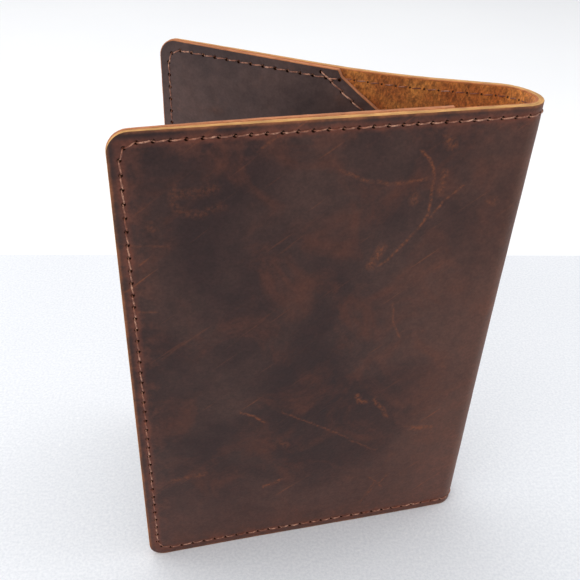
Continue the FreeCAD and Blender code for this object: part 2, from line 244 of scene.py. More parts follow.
SCRATCHES = [
    (0.35, 0.7, ((52.1, 129.0), (59.0, 125.6), (65.1, 124.5), (73.0, 125.1))),
    (0.55, 0.6, ((71.4, 132.5), (73.9, 129.5), (75.1, 125.2), (75.3, 115.4), (72.6, 110.6), (69.6, 107.0))),
    (0.5, 0.5, ((83.3, 122.6), (78.5, 118.7), (76.2, 114.7))),
    (0.45, 0.6, ((69.6, 107.0), (66.6, 103.4), (63.9, 101.4))),
    (0.3, 0.5, ((69.1, 88.0), (70.4, 82.0), (72.7, 77.1))),
    (0.3, 0.6, ((71.4, 17.2), (68.1, 9.2))),
    (0.35, 0.5, ((68.1, 9.2), (71.2, 14.6), (75.5, 19.5))),
    (0.35, 0.5, ((69.4, 20.6), (74.0, 15.2))),
    (0.35, 0.5, ((40.3, 54.6), (45.7, 50.7), (53.8, 45.4), (61.4, 39.1), (70.4, 32.3))),
    (0.6, 0.6, ((28.8, 56.5), (32.0, 54.9), (35.4, 51.7))),
    (0.2, 0.5, ((0.2, 115.2), (6.0, 114.1), (11.1, 113.2))),
    (0.25, 0.5, ((3.4, 95.6), (7.4, 95.0))),
    (0.25, 0.6, ((32.7, 135.5), (37.0, 138.9))),
]
SCUFFS = [
    (0.54, 1.7, ((63.9, 106.4), (62.0, 101.9))),
    (0.65, 1.2, ((62.3, 56.6), (63.6, 53.9), (65.6, 53.6))),
    (0.43, 1.0, ((67.6, 53.8), (70.2, 50.4), (72.6, 46.5))),
    (0.43, 1.5, ((81.2, 39.6), (84.6, 39.1), (88.0, 38.6))),
    (0.58, 0.9, ((35.7, 23.7), (37.8, 24.4), (40.3, 25.8))),
    (0.29, 1.4, ((8.3, 32.8), (13.0, 33.4), (18.2, 33.8))),
    (0.43, 1.3, ((7.8, 118.8), (8.4, 118.2))),
    (0.5, 2.2, ((77.3, 134.4), (78.6, 133.2))),
    (0.36, 1.4, ((77.6, 126.5), (77.4, 121.5))),
    (0.29, 2.0, ((70.4, 121.3), (70.9, 119.1))),
    (0.29, 1.8, ((91.0, 117.4), (92.5, 117.2))),
    (0.2, 1.7, ((13.6, 127.9), (13.0, 124.8), (14.4, 122.1), (19.6, 120.9), (23.9, 122.7))),
    (0.22, 1.9, ((14.0, 126.5), (22.2, 127.1))),
    (0.32, 1.4, ((40.8, 41.6), (42.0, 40.9))),
]
WELD = 1e-4
FAR = 99.0
STROKE_STEP = 0.7
SCORED = 0.04
WANDER = 0.5
WANDER_SCALE = 0.35


def wandering(points, seed):
    """A stroke's points, close together and a little uneven."""
    points = np.array(points)
    lengths = np.concatenate([[0], np.cumsum(np.hypot(*np.diff(points, axis=0).T))])
    marks = np.linspace(0, lengths[-1], max(2, int(lengths[-1] / STROKE_STEP) + 1))
    line = np.column_stack([np.interp(marks, lengths, points[:, axis]) for axis in (0, 1)])
    drift = [[ragged(x * WANDER_SCALE, z * WANDER_SCALE, seed + shift) for shift in (0, 9)] for x, z in line]
    return line + WANDER * np.array(drift)


STROKES = [(strength, width, wandering(points, 3.3 + index))
           for index, (strength, width, points) in enumerate(SCRATCHES + SCUFFS)]


def wear_points():
    """Mesh points that give the strokes their shape: along each, its middle and both borders."""
    points = []
    for _, width, line in STROKES:
        run = np.gradient(line, axis=0)
        across = np.column_stack([-run[:, 1], run[:, 0]]) / np.hypot(*run.T)[:, None]
        points += [line + across * width * share for share in (-1.0, -0.5, 0.0, 0.5, 1.0)]
    return np.concatenate(points)


def gap_to(line, spots):
    """Distance of each spot from a line of points."""
    gap = np.full(len(spots), FAR)
    for start, end in zip(line, line[1:]):
        run = end - start
        share = np.clip((spots - start) @ run / max(run @ run, WELD), 0, 1)
        gap = np.minimum(gap, np.hypot(*(spots - start - share[:, None] * run).T))
    return gap


def wear_at(spots):
    """How worn the face is at each (along, height), from 0 to 1."""
    worn = np.zeros(len(spots))
    for strength, width, line in STROKES:
        worn = np.maximum(worn, strength * smooth(1 - gap_to(line, spots) / width))
    return worn


def enclosed(ring, spots):
    """Which spots lie inside a closed outline."""
    inside = np.zeros(len(spots), bool)
    for (x0, z0), (x1, z1) in zip(ring, np.roll(ring, -1, axis=0)):
        if z0 != z1:
            crosses = (spots[:, 1] > min(z0, z1)) & (spots[:, 1] <= max(z0, z1))
            inside ^= crosses & (spots[:, 0] < x0 + (spots[:, 1] - z0) * (x1 - x0) / (z1 - z0))
    return inside


# ---------------------------------------------------------------------------------------------------------
# Leather laid out flat: an outline with rounded corners, awl holes, a worn cut edge and a face on each side.

HOLE_SIDES = 14
COLLAR = 0.45
HOLE_CLEAR = 0.8
EDGE_CLEAR = 0.35
WEAR_CLEAR = 0.4
FACE_STEP = 1.75
FOLD_STEP = 0.3
FOLD_MARGIN = 4.0
SPLIT_MARGIN = 0.02
CORNER_PARTS = 8

# The cut edge, from the outer face to the inner face: (share of the rounding, share of the thickness).
ROUNDING = 0.24
EDGE_PROFILE = [(0.3, 0.05), (0.06, 0.2), (0, 0.42), (0, 0.5), (0, 0.72), (0.1, 0.9), (0.5, 0.985)]


def stops(start, end, step):
    """Evenly spaced values from start up to, but without, end."""
    count = max(1, round(abs(end - start) / step))
    return [start + (end - start) * index / count for index in range(count)]


def columns(width):
    """Distances for the mesh: wide apart on the flat, close together in the fold."""
    fold_from = FOLD_START - FOLD_MARGIN
    flat = stops(0, min(width, fold_from), FACE_STEP)
    if width <= POCKET_DEPTH:
        return flat + [width]
    return flat + stops(fold_from, width - SPLIT_MARGIN, FOLD_STEP) + [width - SPLIT_MARGIN, width]


def outline_turn(corners, index):
    """Angle turned at a corner of an outline."""
    here = np.array(corners[index][:2])
    before = here - np.array(corners[index - 1][:2])
    after = np.array(corners[(index + 1) % len(corners)][:2]) - here
    return math.atan2(before[0] * after[1] - before[1] * after[0], before @ after)


def outline_of(corners, width):
    """Points round the outline, counter-clockwise, with the outward direction at each."""
    points = []
    count = len(corners)
    for index, (x, z, radius) in enumerate(corners):
        here = np.array((x, z))
        before = here - np.array(corners[index - 1][:2])
        after = np.array(corners[(index + 1) % count][:2]) - here
        before /= np.hypot(*before)
        after /= np.hypot(*after)
        turn = math.atan2(before[0] * after[1] - before[1] * after[0], before @ after)
        reach = radius * math.tan(turn / 2)
        first = here - before * reach
        normal = np.array((before[1], -before[0]))
        if radius == 0:
            points.append((*here, *((normal + np.array((after[1], -after[0]))) / (1 + math.cos(turn)))))
        else:
            centre = first - normal * radius
            for part in range(CORNER_PARTS + 1):
                angle = turn * part / CORNER_PARTS
                side = np.array((normal[0] * math.cos(angle) - normal[1] * math.sin(angle),
                                 normal[0] * math.sin(angle) + normal[1] * math.cos(angle)))
                points.append((*(centre + side * radius), *side))
        following = corners[(index + 1) % count]
        following_turn = outline_turn(corners, (index + 1) % count)
        end = np.array(following[:2]) - after * following[2] * math.tan(following_turn / 2)
        start = here + after * reach
        out = (after[1], -after[0])
        if abs(after[0]) > 0.999:
            low, high = min(start[0], end[0]) + 0.6, max(start[0], end[0]) - 0.01
            inner = [column for column in columns(width) if low < column < high]
            inner = inner if after[0] > 0 else inner[::-1]
            points += [(column, start[1], *out) for column in inner]
        else:
            run = float(np.hypot(*(end - start)))
            points += [(*(start + after * part), *out) for part in stops(0, run, FACE_STEP)[1:]]
    return np.array(points)


def nearest_gap(spots, others):
    """Distance of each spot from the nearest of the others."""
    return np.min(np.hypot(*(spots[:, None] - others[None]).transpose(2, 0, 1)), axis=1)


def leather(name, cover, corners, holes, depths, lift, materials, seed, worn=False, worn_shut=0):
    """Closed sheet of leather between two depths, folded into place.

    The materials are those of the outer face, the inner face, the cut edge and the holes. A worn sheet
    carries the scratches, and worn_shut is how far its holes have closed on the inner face.
    """
    width = max(corner[0] for corner in corners)
    ring = outline_of(corners, width)
    joined = (ring[:, 0] > width - WELD) & (width > POCKET_DEPTH + 1)
    ring[joined, 2] = 0
    between = joined & (ring[:, 1] > 1) & (ring[:, 1] < HEIGHT - 1)
    ring[between, 3] = 0
    inset = ROUNDING + 0.05 * np.array([ragged(x * 0.5, z * 0.5, seed) for x, z in ring[:, :2]])
    face_ring = ring[:, :2] - ring[:, 2:] * inset[:, None]

    circle = np.arange(HOLE_SIDES) * 2 * math.pi / HOLE_SIDES
    unit = np.stack([np.cos(circle), np.sin(circle)], axis=1)
    centres = np.array(holes)
    rims = np.concatenate([centre + unit * HOLE_RADIUS for centre in centres])
    collars = np.concatenate([centre + unit * (HOLE_RADIUS + COLLAR) for centre in centres])

    rows = stops(0, HEIGHT, FACE_STEP)[1:]
    grid = np.array([(x, z) for x in columns(width)[1:-1] for z in rows])
    if worn:
        marked = wear_points()
        grid = np.concatenate([grid[nearest_gap(grid, marked) > WEAR_CLEAR], marked])
    clear = nearest_gap(grid, centres) > HOLE_RADIUS + HOLE_CLEAR
    closed_ring = np.concatenate([face_ring, face_ring[:1]])
    inside = enclosed(face_ring, grid) & (gap_to(closed_ring, grid) > EDGE_CLEAR)
    if width > POCKET_DEPTH + 1:
        off_edges = (grid[:, 1] > 2 * EDGE_CLEAR) & (grid[:, 1] < HEIGHT - 2 * EDGE_CLEAR)
        inside |= (grid[:, 0] > width - EDGE_CLEAR) & clear & off_edges
    grid = grid[clear & inside]

    flat = np.concatenate([face_ring, rims, collars, grid])
    ring_count, rim_count = len(face_ring), len(rims)
    edges = [(i, (i + 1) % ring_count) for i in range(ring_count)]
    for first in range(ring_count, ring_count + rim_count, HOLE_SIDES):
        edges += [(first + i, first + (i + 1) % HOLE_SIDES) for i in range(HOLE_SIDES)]
    made = delaunay_2d_cdt([Vector(p) for p in flat], edges, [], 0, WELD * 0.1)
    flat = np.array(made[0])
    source = {origin: index for index, origins in enumerate(made[3]) for origin in origins}
    triangles = np.array(made[2])
    middle = flat[triangles].mean(axis=1)
    triangles = triangles[(nearest_gap(middle, centres) > HOLE_RADIUS * 0.98) & enclosed(face_ring, middle)]

    # Both faces dip at the holes, swell gently and follow the lift.
    away = nearest_gap(flat, centres)
    pulled = 0.13 * np.exp(-(away / 0.75) ** 2) + 0.06 * np.exp(-(away / 2.2) ** 2)
    raised = lift(flat[:, 0], flat[:, 1])
    uneven = 0.05 * np.array([ragged(x * 0.11, z * 0.11, seed) for x, z in flat])
    scored = SCORED * wear_at(flat) if worn else 0
    outer = np.column_stack([flat, depths[0] + pulled + raised + uneven + scored])
    inner = np.column_stack([flat, depths[1] - pulled * 0.7 + raised + uneven])
    if worn_shut:
        rim = [source[i] for i in range(ring_count, ring_count + rim_count)]
        inner[rim, :2] += (np.repeat(centres, HOLE_SIDES, axis=0) - rims) * worn_shut
    count = len(flat)
    spots = [outer, inner]
    faces = [tuple(t) for t in triangles] + [tuple(t[::-1] + count) for t in triangles]
    kinds = [0] * len(triangles) + [1] * len(triangles)

    thickness = depths[1] - depths[0]
    loops = [[source[i] for i in range(ring_count)]]
    rise = raised[loops[0]] + uneven[loops[0]]
    total = 2 * count
    for level, (pull, share) in enumerate(EDGE_PROFILE):
        rough = np.array([ragged(x * 1.1, z * 1.1, seed + 3 + level * 0.7) for x, z in ring[:, :2]])
        back = inset * pull + 0.05 * rough
        band = ring[:, :2] - ring[:, 2:] * back[:, None]
        spots.append(np.column_stack([band, depths[0] + thickness * share + rise]))
        loops.append(list(range(total, total + ring_count)))
        total += ring_count
    loops.append([source[i] + count for i in range(ring_count)])
    for level, (near, far) in enumerate(zip(loops, loops[1:])):
        for i in range(ring_count):
            j = (i + 1) % ring_count
            faces.append((near[j], near[i], far[i], far[j]))
            kinds.append(0 if level == 0 else 2)
    for first in range(ring_count, ring_count + rim_count, HOLE_SIDES):
        rim = [source[first + i] for i in range(HOLE_SIDES)]
        for i in range(HOLE_SIDES):
            j = (i + 1) % HOLE_SIDES
            faces.append((rim[i], rim[j], rim[j] + count, rim[i] + count))
            kinds.append(3)
    spots = cover.spots(np.concatenate(spots))
    return finish_mesh(name, spots, faces, kinds, materials, wear=wear_at(spots[:, :2]) if worn else None)


def finish_mesh(name, spots, faces, kinds, materials, sharp=50, wear=None):
    """Object from flat spots: folded into place, with the flat layout kept for its materials."""
    mesh = bpy.data.meshes.new(name)
    mesh.from_pydata(place(spots).tolist(), [], faces)
    attribute = mesh.attributes.new("leather", "FLOAT_VECTOR", "POINT")
    attribute.data.foreach_set("vector", spots.astype(np.float32).ravel())
    if wear is not None:
        mesh.attributes.new("wear", "FLOAT", "POINT").data.foreach_set("value", wear.astype(np.float32))
    for material in materials:
        mesh.materials.append(material)
    mesh.polygons.foreach_set("material_index", np.array(kinds, np.int32))
    shape = bmesh.new()
    shape.from_mesh(mesh)
    bmesh.ops.recalc_face_normals(shape, faces=shape.faces)
    shape.to_mesh(mesh)
    shape.free()
    mesh.shade_smooth()
    mesh.set_sharp_from_angle(angle=math.radians(sharp))
    piece = bpy.data.objects.new(name, mesh)
    bpy.context.scene.collection.objects.link(piece)
    return piece


# ---------------------------------------------------------------------------------------------------------
# Saddle stitches: the two threads take turns outside and inside, and pass each other in every hole.

TURN_POWER = 0.85
PROUD_OUTSIDE = 0.35
PROUD_INSIDE = 0.1
PROUD_IN_SUEDE = -0.45
STITCH_STEPS = 41
RING_STEP = 0.42
RING_SIDES = 8
PLY_PITCH = 1.5
PLY_DEPTH = 0.2


def stitch_path(holes, odd, faces, handed, lift):
    """Centre line of one thread, as (distance, height, depth), and the direction across the seam."""
    points, acrosses = [], []
    phases = np.linspace(math.pi, 0, STITCH_STEPS)
    for index in range(len(holes) - 1):
        start, end = np.array(holes[index]), np.array(holes[index + 1])
        outside = (index + odd) % 2 == 0
        outer, inner = faces(*(start + end) / 2)
        proud = PROUD_INSIDE if inner > SHELL else PROUD_IN_SUEDE
        run = end - start
        across = np.array((-run[1], run[0])) / np.hypot(*run)
        slant = THREAD_SPREAD * handed * (-1 if outside else 1)
        start = start + across * slant * (index > 0)
        end = end - across * slant * (index < len(holes) - 2)
        middle = (outer + inner) / 2
        top = outer - THREAD_RADIUS * PROUD_OUTSIDE if outside else inner + THREAD_RADIUS * proud
        shares = 0.5 - 0.5 * np.sign(-np.cos(phases)) * -1 * np.abs(np.cos(phases)) ** TURN_POWER
        climb = np.abs(np.sin(phases)) ** TURN_POWER
        if index == 0:
            climb = np.where(phases > math.pi / 2, 1.0, climb)
        if index == len(holes) - 2:
            climb = np.where(phases < math.pi / 2, 1.0, climb)
        flat = start[None] * (1 - shares[:, None]) + end[None] * shares[:, None]
        depth = middle + (top - middle) * climb + lift(flat[:, 0], flat[:, 1])
        points.append(np.column_stack([flat, depth])[:-1])
        acrosses.append(np.repeat([(*across, 0.0)], len(phases) - 1, axis=0))
    return np.concatenate(points), np.concatenate(acrosses)


def thread(name, cover, holes, odd, faces, lift, material, closed_at_fold):
    """Two-ply thread swept along its stitches."""
    handed = -1 if cover.flip else 1
    if closed_at_fold:
        holes = [(cover.width, holes[0][1]), *holes, (cover.width, holes[-1][1])]
    path, across = stitch_path(holes, odd, faces, handed, lift)
    lengths = np.concatenate([[0], np.cumsum(np.linalg.norm(np.diff(path, axis=0), axis=1))])
    count = int(lengths[-1] / RING_STEP)
    marks = np.linspace(0, lengths[-1], count)
    path = np.column_stack([np.interp(marks, lengths, path[:, axis]) for axis in range(3)])
    across = np.column_stack([np.interp(marks, lengths, across[:, axis]) for axis in range(3)])
    heading = np.gradient(path, axis=0)
    heading /= np.linalg.norm(heading, axis=1)[:, None]
    side = across - heading * np.sum(across * heading, axis=1)[:, None]
    side /= np.linalg.norm(side, axis=1)[:, None]
    third = np.cross(heading, side)
    spots = []
    for part in range(RING_SIDES):
        angle = 2 * math.pi * part / RING_SIDES
        ply = 1 + PLY_DEPTH * np.cos(2 * (angle - math.pi * marks / PLY_PITCH))
        radius = THREAD_RADIUS * 0.9 * ply
        sideways, outwards = (radius * math.cos(angle))[:, None], (radius * math.sin(angle))[:, None]
        spots.append(path + side * sideways + third * outwards)
    spots = np.stack(spots, axis=1).reshape(-1, 3)
    quads = []
    for ring in range(count - 1):
        for part in range(RING_SIDES):
            after = (part + 1) % RING_SIDES
            here, there = ring * RING_SIDES, (ring + 1) * RING_SIDES
            quads.append((here + part, here + after, there + after, there + part))
    ends = [tuple(reversed(range(RING_SIDES))), tuple(range((count - 1) * RING_SIDES, count * RING_SIDES))]
    return finish_mesh(name, cover.spots(spots), quads + ends, [0] * (len(quads) + 2), [material], sharp=80)


# ---------------------------------------------------------------------------------------------------------
# Materials. Their coordinates are the flat layout of the leather, in millimetres.

def srgb(red, green, blue):
    """Colour from 0-255 screen values, as a linear RGBA."""
    values = []
    for value in (red, green, blue):
        value /= 255
        linear = value / 12.92 if value <= 0.04045 else ((value + 0.055) / 1.055) ** 2.4
        values.append(min(linear, 1.0))
    return (*values, 1.0)


class Finish:
    """A material under construction."""

    def __init__(self, name, attribute="leather"):
        self.material = bpy.data.materials.new(name)
        self.material.use_nodes = True
        self.tree = self.material.node_tree
        self.shader = next(n for n in self.tree.nodes if n.type == "BSDF_PRINCIPLED")
        if attribute:
            source = self.node("ShaderNodeAttribute", attribute_name=attribute)
            self.spot = source.outputs["Vector"]
        else:
            source = self.node("ShaderNodeTexCoord")
            scaled = self.node("ShaderNodeVectorMath", operation="SCALE")
            self.link(source.outputs["Object"], scaled.inputs[0])
            scaled.inputs["Scale"].default_value = 1 / MM
            self.spot = scaled.outputs[0]
        split = self.node("ShaderNodeSeparateXYZ")
        self.link(self.spot, split.inputs[0])
        self.along, self.height, self.depth = split.outputs

    def node(self, kind, **settings):
        made = self.tree.nodes.new(kind)
        for key, value in settings.items():
            setattr(made, key, value)
        return made

    def link(self, output, socket):
        if hasattr(output, "is_output"):
            self.tree.links.new(output, socket)
        else:
            socket.default_value = output

    def math(self, operation, first, second=0.0, third=0.0):
        made = self.node("ShaderNodeMath", operation=operation)
        for value, socket in zip((first, second, third), made.inputs):
            self.link(value, socket)
        return made.outputs[0]

    def ramp(self, value, low, high, start=0.0, end=1.0):
        """Smooth change from start to end while the value goes from low to high."""
        made = self.node("ShaderNodeMapRange", interpolation_type="SMOOTHSTEP", clamp=True)
        for number, socket in zip((value, low, high, start, end), made.inputs):
            self.link(number, socket)
        return made.outputs[0]

    def noise(self, size, detail=3.0, roughness=0.5, stretch=(1, 1, 1), seed=0.0, distortion=0.0, spot=None):
        """Noise between 0 and 1 whose features are about that many millimetres across."""
        shifted = self.node("ShaderNodeMapping")
        self.link(spot or self.spot, shifted.inputs["Vector"])
        shifted.inputs["Scale"].default_value = [part / size for part in stretch]
        shifted.inputs["Location"].default_value = (seed, seed * 1.7, seed * 0.3)
        made = self.node("ShaderNodeTexNoise")
        self.link(shifted.outputs[0], made.inputs["Vector"])
        made.inputs["Scale"].default_value = 1.0
        made.inputs["Detail"].default_value = detail
        made.inputs["Roughness"].default_value = roughness
        made.inputs["Distortion"].default_value = distortion
        return made.outputs["Fac"]

    def mix(self, share, first, second):
        made = self.node("ShaderNodeMix", data_type="RGBA")
        self.link(share, made.inputs[0])
        self.link(first, made.inputs[6])
        self.link(second, made.inputs[7])
        return made.outputs[2]

    def shade(self, colour, amount):
        """Colour made brighter or darker by a factor."""
        made = self.node("ShaderNodeVectorMath", operation="SCALE")
        self.link(colour, made.inputs[0])
        self.link(amount, made.inputs["Scale"])
        return made.outputs[0]

    def bump(self, height, distance, strength=1.0, normal=None):
        """Relief whose height, from 0 to 1, is worth that many millimetres."""
        made = self.node("ShaderNodeBump")
        made.inputs["Strength"].default_value = strength
        made.inputs["Distance"].default_value = distance * MM
        self.link(height, made.inputs["Height"])
        if normal:
            self.link(normal, made.inputs["Normal"])
        return made.outputs[0]

    def done(self, colour, roughness, normal=None, **sockets):
        self.link(colour, self.shader.inputs["Base Color"])
        self.link(roughness, self.shader.inputs["Roughness"])
        if normal:
            self.link(normal, self.shader.inputs["Normal"])
        for name, value in sockets.items():
            self.shader.inputs[name.replace("_", " ")].default_value = value
        return self.material


def waxed_leather():
    """Dark pull-up leather: cloudy wax, reddish rubs, a worn spine with a painted reflection, painted floor
    bounce light near the standing edge, scratches and a fine grain.
    """
    f = Finish("waxed_leather")
    clouds = f.ramp(f.noise(38, 4, 0.55, distortion=0.5, seed=3.1), 0.36, 0.66)
    patches = f.ramp(f.noise(17, 5, 0.6, seed=8.4, distortion=0.8), 0.47, 0.72)
    mottle = f.noise(3.2, 5, 0.62, seed=1.7)
    speckle = f.noise(0.7, 3, 0.6, seed=5.2)
    colour = f.mix(clouds, srgb(56, 38, 36), srgb(77, 54, 48))
    colour = f.mix(f.math("MULTIPLY", patches, 0.55), colour, srgb(98, 56, 42))

    # The leather is lighter and warmer towards the fold; towards the standing edge it is lighter with painted
    # bounce light from the floor.
    to_fold = f.ramp(f.math("MULTIPLY_ADD", f.height, -0.16, f.along), 46, 100)
    colour = f.mix(f.math("MULTIPLY", to_fold, 0.42), colour, srgb(120, 76, 60))
    # Painted bounce light from the floor: lighter and warmer towards the standing edge.
    floor_bounce_light = f.ramp(f.height, 40, 0)
    colour = f.mix(f.math("MULTIPLY", floor_bounce_light, 0.5), colour, srgb(108, 72, 62))

    # Rubbed bands along the perimeter seam and at the cut edges; round the spine, rubbed wear with a painted
    # reflection of the bright surroundings.
    free = f.math("MINIMUM", f.along, f.math("SUBTRACT", WHOLE, f.along))
    upper = f.math("SUBTRACT", HEIGHT, f.height)
    margin = f.math("MINIMUM", free, f.math("MINIMUM", f.height, upper))
    worn = f.noise(5.5, 4, 0.65, seed=2.2)
    seam = f.ramp(f.math("ABSOLUTE", f.math("SUBTRACT", margin, SEAM_MARGIN)), 1.7, 0.2)
    seam = f.math("MULTIPLY", seam, f.ramp(worn, 0.25, 0.7, 0.25, 0.85))
    colour = f.mix(seam, colour, srgb(120, 66, 50))
    under = f.math("MULTIPLY", f.ramp(margin, 11, 3.2), f.ramp(worn, 0.42, 0.62, 0.0, 0.45))
    colour = f.mix(under, colour, srgb(108, 64, 50))
    rim = f.math("MULTIPLY", f.ramp(margin, 0.95, 0.15), f.ramp(worn, 0.3, 0.62, 0.2, 0.9))
    colour = f.mix(rim, colour, srgb(150, 92, 60))
    # The band round the spine is partly rubbed wear and partly a painted reflection of the bright
    # surroundings where the fold turns away.
    spine = f.ramp(f.math("ABSOLUTE", f.math("SUBTRACT", f.along, COVER_WIDTH - 0.6)), 7.5, 0.6)
    spine_rub_and_reflection = f.noise(6, 5, 0.6, stretch=(1, 0.35, 1), seed=6.6)
    spine = f.math("MULTIPLY", spine, f.ramp(spine_rub_and_reflection, 0.25, 0.7, 0.35, 1.0))
    colour = f.mix(f.math("MULTIPLY", spine, 0.6), colour, srgb(142, 98, 78))

    # Scratches and scuffs break up where the wax held, and fine streaks run across them.
    wear = f.node("ShaderNodeAttribute", attribute_name="wear").outputs["Fac"]
    wear = f.math("MULTIPLY", wear, f.ramp(f.noise(0.9, 5, 0.7, seed=9.0), 0.4, 0.62, 0.12, 1.0))
    turned = f.node("ShaderNodeMapping")
    f.link(f.spot, turned.inputs["Vector"])
    turned.inputs["Rotation"].default_value = (0, 0, 0.95)
    streaks = f.noise(1.0, 2, 0.5, stretch=(0.9, 0.045, 1), seed=7.7, spot=turned.outputs[0])
    streaks = f.math("MULTIPLY", f.ramp(streaks, 0.66, 0.78), f.ramp(clouds, 0.2, 0.8, 0.12, 0.35))
    marks = f.math("MULTIPLY", f.math("MAXIMUM", wear, streaks), f.ramp(f.depth, 1.2, 0.8))
    colour = f.mix(marks, colour, srgb(156, 88, 54))

    tone = f.math("MULTIPLY", f.ramp(mottle, 0.2, 0.8, 0.78, 1.2), f.ramp(speckle, 0.2, 0.8, 0.84, 1.16))
    colour = f.shade(colour, tone)
    grain = f.node("ShaderNodeTexVoronoi", feature="SMOOTH_F1")
    f.link(f.spot, grain.inputs["Vector"])
    grain.inputs["Scale"].default_value = 1.5
    grain.inputs["Smoothness"].default_value = 0.6
    normal = f.bump(f.noise(7, 4, 0.5, seed=2.9), 0.35, 0.5)
    normal = f.bump(grain.outputs["Distance"], 0.07, 0.45, normal)
    normal = f.bump(f.noise(0.35, 3, 0.6, seed=6.1), 0.03, 0.5, normal)
    normal = f.bump(marks, -0.04, 0.35, normal)
    rough = f.math("ADD", f.ramp(mottle, 0.25, 0.75, 0.5, 0.66), f.math("MULTIPLY", marks, 0.18))
    return f.done(colour, rough, normal, Specular_IOR_Level=0.22, Sheen_Weight=0.03, Sheen_Roughness=0.4)


def pocket_leather():
    """The pockets' grain side: the same dark leather, cleaner and a little greyer."""
    f = Finish("pocket_leather")
    clouds = f.ramp(f.noise(24, 4, 0.55, seed=12.0), 0.35, 0.68)
    colour = f.mix(clouds, srgb(66, 50, 48), srgb(88, 66, 61))
    patches = f.ramp(f.noise(9, 5, 0.65, seed=15.0), 0.55, 0.78, 0.0, 0.5)
    colour = f.mix(patches, colour, srgb(104, 66, 50))
    tone = f.math("MULTIPLY", f.ramp(f.noise(2.6, 5, 0.6, seed=17.0), 0.2, 0.8, 0.8, 1.18),
                  f.ramp(f.noise(0.6, 3, 0.6, seed=18.0), 0.2, 0.8, 0.88, 1.12))
    colour = f.shade(colour, tone)
    normal = f.bump(f.noise(6, 4, 0.5, seed=13.0), 0.3, 0.5)
    grain = f.node("ShaderNodeTexVoronoi", feature="SMOOTH_F1")
    f.link(f.spot, grain.inputs["Vector"])
    grain.inputs["Scale"].default_value = 1.7
    normal = f.bump(grain.outputs["Distance"], 0.07, 0.45, normal)
    rough = f.ramp(f.noise(4, 4, 0.6, seed=19.0), 0.3, 0.7, 0.48, 0.62)
    return f.done(colour, rough, normal, Specular_IOR_Level=0.25, Sheen_Weight=0.03, Sheen_Roughness=0.4)


def suede():
    """The flesh side: a rough orange-brown nap, darker where it is brushed flat."""
    f = Finish("suede")
    brushed = f.ramp(f.noise(9, 4, 0.6, seed=21.0), 0.34, 0.68)
    colour = f.mix(brushed, srgb(184, 102, 44), srgb(220, 140, 64))
    tufts = f.noise(0.75, 5, 0.75, stretch=(1.15, 0.6, 1), seed=23.0)
    colour = f.shade(colour, f.ramp(tufts, 0.3, 0.7, 0.42, 1.4))
    pits = f.noise(2.1, 4, 0.7, seed=24.0)
    colour = f.mix(f.ramp(pits, 0.44, 0.3, 0.0, 0.55), colour, srgb(104, 50, 20))
    normal = f.bump(f.noise(3.0, 5, 0.7, seed=25.0), 0.4, 0.7)
    normal = f.bump(tufts, 0.3, 0.9, normal)
    return f.done(colour, 0.92, normal, Specular_IOR_Level=0.08, Sheen_Weight=0.25, Sheen_Roughness=0.6)


def cut_edge(name, light, dark, seed, flesh_light=None, flesh_dark=None):
    """Raw cut edge: layered fibres along the leather, paler than either face, redder on the flesh side."""
    f = Finish(name)
    layers = f.noise(0.55, 4, 0.65, stretch=(0.22, 0.22, 2.2), seed=seed)
    fibrous = f.ramp(layers, 0.3, 0.7)
    colour = f.mix(fibrous, dark, light)
    if flesh_light:
        wandering_depth = f.math("MULTIPLY_ADD", f.noise(2.5, 3, 0.6, seed=seed + 4), 0.5, f.depth)
        colour = f.mix(f.ramp(wandering_depth, 1.5, 2.0), colour, f.mix(fibrous, flesh_dark, flesh_light))
    stain = f.noise(4.5, 4, 0.6, seed=seed + 1)
    colour = f.shade(colour, f.ramp(stain, 0.3, 0.7, 0.82, 1.12))
    fleck = f.ramp(f.noise(0.5, 3, 0.7, seed=seed + 2), 0.66, 0.78, 0.0, 0.5)
    colour = f.mix(fleck, colour, srgb(104, 60, 34))
    normal = f.bump(layers, 0.12, 0.8)
    normal = f.bump(f.noise(0.28, 4, 0.7, seed=seed + 3), 0.08, 0.7, normal)
    return f.done(colour, 0.85, normal, Specular_IOR_Level=0.15, Sheen_Weight=0.1, Sheen_Roughness=0.6)


def shaded_hole_walls():
    """Inside of the awl holes, painted near-black brown as the shade in them."""
    f = Finish("shaded_hole_walls")
    # Painted shade: the hole walls are coloured near-black for the shade inside the holes.
    colour = f.mix(f.noise(0.6, 3, 0.6, seed=31.0), srgb(34, 18, 13), srgb(78, 44, 30))
    return f.done(colour, 0.8, f.bump(f.noise(0.3, 3, 0.6, seed=32.0), 0.08), Specular_IOR_Level=0.1)


def sewing_thread():
    """Waxed two-ply thread, rust orange, mixed in patches with a pale painted highlight colour."""
    f = Finish("sewing_thread")
    # Pale patches: a painted highlight colour, placed by noise along the thread.
    pale_highlight_share = f.noise(6, 3, 0.5, seed=41.0)
    colour = f.mix(f.ramp(pale_highlight_share, 0.35, 0.65), srgb(146, 84, 58), srgb(212, 158, 130))
    stained = f.ramp(f.noise(1.3, 3, 0.6, seed=43.0), 0.42, 0.6, 0.75, 0.0)
    colour = f.mix(stained, colour, srgb(104, 50, 32))
    fibres = f.noise(0.22, 3, 0.6, seed=42.0)
    colour = f.shade(colour, f.ramp(fibres, 0.25, 0.75, 0.7, 1.28))
    normal = f.bump(fibres, 0.05, 0.7)
    return f.done(colour, 0.55, normal, Specular_IOR_Level=0.35, Sheen_Weight=0.15, Sheen_Roughness=0.5)


